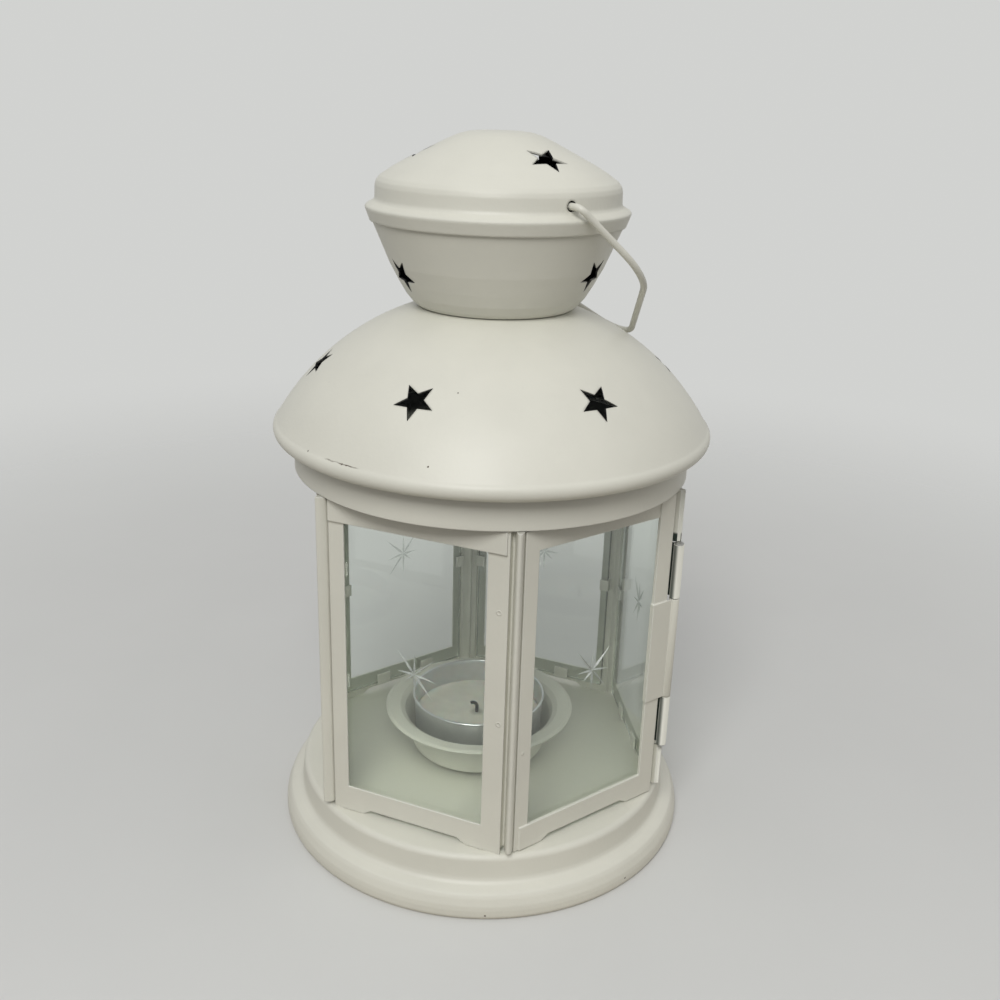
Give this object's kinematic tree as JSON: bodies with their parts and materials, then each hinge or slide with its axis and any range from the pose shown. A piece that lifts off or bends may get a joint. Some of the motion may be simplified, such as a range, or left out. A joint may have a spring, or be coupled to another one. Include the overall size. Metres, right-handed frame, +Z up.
{
  "type": "tealight lantern",
  "caption": "Hexagonal glazed tealight lantern in painted sheet metal, with star-punched domed roof and cap, hinged glass door, fixed candle cup and swinging wire bail.",
  "frame": {"origin": "centre of the foot's rolled hem, at the height of the table", "axes": "+Z up along the lantern's axis; -Y out through the closed door; +X towards the side of the door's hinge and of the dropped bail"},
  "size_m": [0.1192, 0.1192, 0.195],
  "materials": {
    "paint": "satin off-white powder coat on thin sheet",
    "steel": "plain bright steel",
    "foil": "drawn thin aluminium",
    "wax": "white candle wax",
    "wick": "charred cotton",
    "glass": "clear float glass with greenish edges"
  },
  "bodies": {
    "body": {"base_pan": "paint", "candle_cup": "paint", "cup_rivet": "steel", "panel_frame_1": "paint", "panel_frame_2": "paint", "panel_frame_3": "paint", "panel_frame_4": "paint", "panel_frame_5": "paint", "corner_post_1": "paint", "corner_post_2": "paint", "corner_post_3": "paint", "corner_post_4": "paint", "corner_post_5": "paint", "hinge_post": "paint", "hinge_pin": "steel", "glass_pane_1": "glass", "glass_pane_2": "glass", "glass_pane_3": "glass", "glass_pane_4": "glass", "glass_pane_5": "glass", "roof_skirt": "paint", "roof_dome": "paint", "vent_eyelet": "steel", "cap_cone": "paint", "cap_dome": "paint"},
    "door": {"door_frame": "paint", "door_glass": "glass"},
    "bail": {"bail_handle": "paint"},
    "tealight": {"tealight_cup": "foil", "tealight_wax": "wax", "tealight_wick": "wick", "wick_sustainer": "steel"}
  },
  "joints": [
    {"name": "door_swing", "type": "hinge", "parent": "body", "child": "door", "pos_m": [0.02755, -0.04772, 0.061], "axis": [0, 0, 1], "range_deg": [0, 180]},
    {"name": "bail_swing", "type": "hinge", "parent": "body", "child": "bail", "pos_m": [0, 0, 0.1796], "axis": [-0.0698, -0.9976, 0], "range_deg": [0, 264]},
    {"name": "tealight_lift", "type": "slide", "parent": "body", "child": "tealight", "axis": [0, 0, 1], "range_m": [0, 0.017]}
  ]
}
